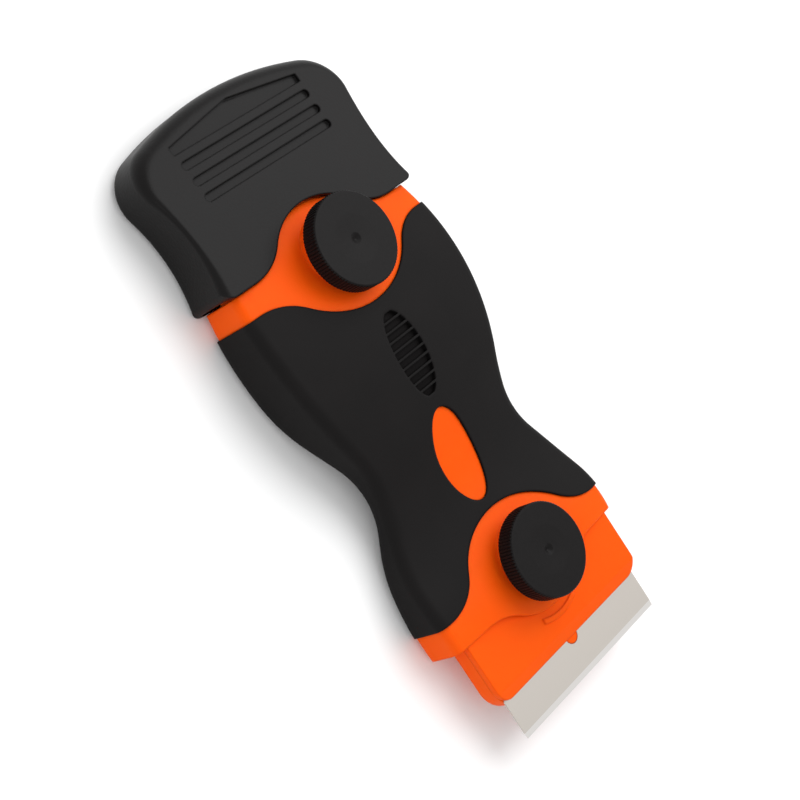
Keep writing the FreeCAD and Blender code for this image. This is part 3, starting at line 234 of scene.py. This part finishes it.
# rolled carbon steel: dull warm grey with a brighter facet ground along the edge
# edgeSign says which way along Y that edge faces
def bladeSteel(name, look, node, edgeSign):
    material, tree = newMaterial(name)
    place = addNode(tree, "TexCoord").outputs["Object"]
    low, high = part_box(node)
    edge = high[1] if edgeSign > 0 else low[1]
    along = addNode(tree, "SeparateXYZ", {"Vector": place}).outputs["Y"]
    fromEdge = addNode(tree, "Math", {0: along, 1: edge}, operation="SUBTRACT").outputs["Value"]
    distance = addNode(tree, "Math", {0: fromEdge}, operation="ABSOLUTE").outputs["Value"]
    ground = addNode(tree, "Math", {0: distance, 1: look["groundWidth"]}, operation="LESS_THAN")
    colour = addNode(tree, "Mix", {
        "Factor": ground.outputs["Value"],
        "A": linearColour(look["colour"]),
        "B": linearColour(look["groundColour"]),
    }, data_type="RGBA")
    # rolling lines run along the edge, so the noise is stretched in X
    stretch = addNode(tree, "Mapping", {"Vector": place, "Scale": (1 / look["lineStretch"], 1, 1)})
    lines = addNode(tree, "TexNoise", {
        "Vector": stretch.outputs["Vector"],
        "Scale": 1 / look["lineSpacing"],
        "Detail": look["lineDetail"],
    })
    bump = addNode(tree, "Bump", {"Height": lines.outputs["Fac"], "Distance": look["lineHeight"]})
    finishSurface(tree, {
        "Base Color": colour.outputs["Result"],
        "Metallic": 1,
        "Roughness": look["roughness"],
        "Normal": bump.outputs["Normal"],
    })
    return material


platedLook = {
    "colour": "#b9bbbd",
    "patchColour": "#a9abae",  # clouds in the zinc
    "patchSize": 1.5 * millimetre,
    "patchDetail": 3,
    "roughness": 0.3,
}


# zinc-plated steel: bluish grey, clouded shine
def platedSteel(look):
    material, tree = newMaterial("zinc_plated_steel")
    place = addNode(tree, "TexCoord").outputs["Object"]
    finishSurface(tree, {
        "Base Color": mottledColour(tree, place, look),
        "Metallic": 1,
        "Roughness": look["roughness"],
    })
    return material


orange = orangePlastic(orangeLook)
knobBlack = knobPlastic(knobLook)
plated = platedSteel(platedLook)
finishes = {
    "handle_core": orange,
    "grip_sleeve": gripRubber(rubberLook),
    "blade_cap": capPlastic(capLook),
    "front_blade": bladeSteel("rolled_blade_steel_front", bladeLook, "front_blade", -1),
    "rear_blade": bladeSteel("rolled_blade_steel_rear", bladeLook, "rear_blade", 1),
}
for end in ("front", "rear"):
    finishes[end + "_knob"] = knobBlack
    for jaw in ("upper_jaw", "lower_jaw"):
        finishes[end + "_" + jaw] = orange
    for fastener in ("washer", "stud", "nut"):
        finishes[end + "_" + fastener] = plated
print("materials made")


def paint(piece, material):
    piece.data.materials.clear()
    piece.data.materials.append(material)


for name, material in finishes.items():
    paint(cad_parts[name], material)
print("nodes painted")


floorLook = {
    "colour": "#fafafa",
    "roughness": 0.9,
    "size": 4.0,
    "drop": 0.05 * millimetre,  # keeps the floor off the underside
}


# matt painted floor: pale and even, and it keeps the soft shadow
def layFloor(look):
    shape = bmesh.new()
    bmesh.ops.create_grid(shape, x_segments=1, y_segments=1, size=look["size"] / 2)
    bmesh.ops.translate(shape, verts=shape.verts, vec=(0, 0, cadBox[0][2] - look["drop"]))
    mesh = bpy.data.meshes.new("studio_floor")
    shape.to_mesh(mesh)
    shape.free()
    floor = bpy.data.objects.new("studio_floor", mesh)
    bpy.context.scene.collection.objects.link(floor)
    material, tree = newMaterial("painted_floor")
    finishSurface(tree, {"Base Color": linearColour(look["colour"]), "Roughness": look["roughness"]})
    paint(floor, material)


layFloor(floorLook)


lightLook = {
    "backdrop": "#ffffff",
    "backdropLevel": 1.0,  # what the camera and reflections see
    "worldLevel": 0.8,  # what lights the object
    "keyPlace": (0.28, 0.18, 0.48),
    "keySize": 0.6,
    "keyPower": 2.5,
    "fillPlace": (-0.38, -0.06, 0.31),
    "fillSize": 0.1,
    "fillPower": 0.15,
}


def lightStudio(look):
    world = bpy.data.worlds.new("studio_world")
    bpy.context.scene.world = world
    world.use_nodes = True
    tree = world.node_tree
    tree.nodes.clear()
    path = addNode(tree, "LightPath").outputs
    shown = path["Is Camera Ray"]
    for ray in ("Is Glossy Ray", "Is Transmission Ray"):
        shown = addNode(tree, "Math", {0: shown, 1: path[ray]}, operation="MAXIMUM").outputs["Value"]
    strength = addNode(tree, "Mix", {
        "Factor": shown,
        "A": look["worldLevel"],
        "B": look["backdropLevel"],
    }, data_type="FLOAT")
    backdrop = addNode(tree, "Background", {
        "Color": linearColour(look["backdrop"]),
        "Strength": strength.outputs["Result"],
    })
    addNode(tree, "OutputWorld", {"Surface": backdrop.outputs["Background"]})
    for name in ("key", "fill"):
        lamp = bpy.data.lights.new(name + "_lamp", "AREA")
        lamp.shape = "DISK"
        lamp.size = look[name + "Size"]
        lamp.energy = look[name + "Power"]
        holder = bpy.data.objects.new(name + "_lamp", lamp)
        holder.location = look[name + "Place"]
        holder.rotation_euler = (-holder.location).to_track_quat("-Z", "Y").to_euler()
        bpy.context.scene.collection.objects.link(holder)


lightStudio(lightLook)


cameraLook = {
    "eye": (-0.18777, 0.03619, 0.23767),
    "target": (-0.00327, -0.00117, 0.008),
    "roll": math.radians(65.591),
    "lens": 80.75,
    "sensor": 36,
    "nearest": 10 * millimetre,
}


def standCamera(look):
    camera = bpy.data.cameras.new("photo_camera")
    camera.lens = look["lens"]
    camera.sensor_width = look["sensor"]
    camera.clip_start = look["nearest"]
    holder = bpy.data.objects.new("photo_camera", camera)
    aim = Vector(look["target"]) - Vector(look["eye"])
    turn = aim.to_track_quat("-Z", "Y").to_matrix() @ Matrix.Rotation(look["roll"], 3, "Z")
    holder.matrix_world = Matrix.Translation(look["eye"]) @ turn.to_4x4()
    bpy.context.scene.collection.objects.link(holder)
    bpy.context.scene.camera = holder


standCamera(cameraLook)
bpy.context.scene.view_settings.view_transform = "Standard"
print("floor, lights and camera placed")
